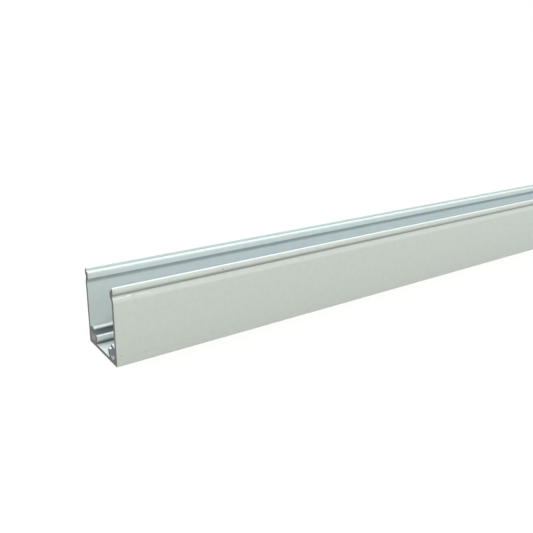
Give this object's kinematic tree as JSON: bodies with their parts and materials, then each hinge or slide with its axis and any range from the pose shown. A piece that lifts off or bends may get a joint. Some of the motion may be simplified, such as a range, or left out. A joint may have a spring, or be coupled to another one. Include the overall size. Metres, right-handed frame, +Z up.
{
  "type": "aluminium channel profile",
  "caption": "Straight open aluminium channel with a crested snap bead along each rim and an open round screw port in each inside bottom corner, sawn square at both ends.",
  "frame": {"origin": "middle of the underside of the base, at mid-length", "axes": "+X along the length, +Y across the width, +Z up through the open side"},
  "size_m": [0.5, 0.02, 0.0235],
  "materials": {
    "anodised_aluminium": "satin"
  },
  "bodies": {
    "root": {"channel_profile": "anodised_aluminium"}
  },
  "joints": []
}
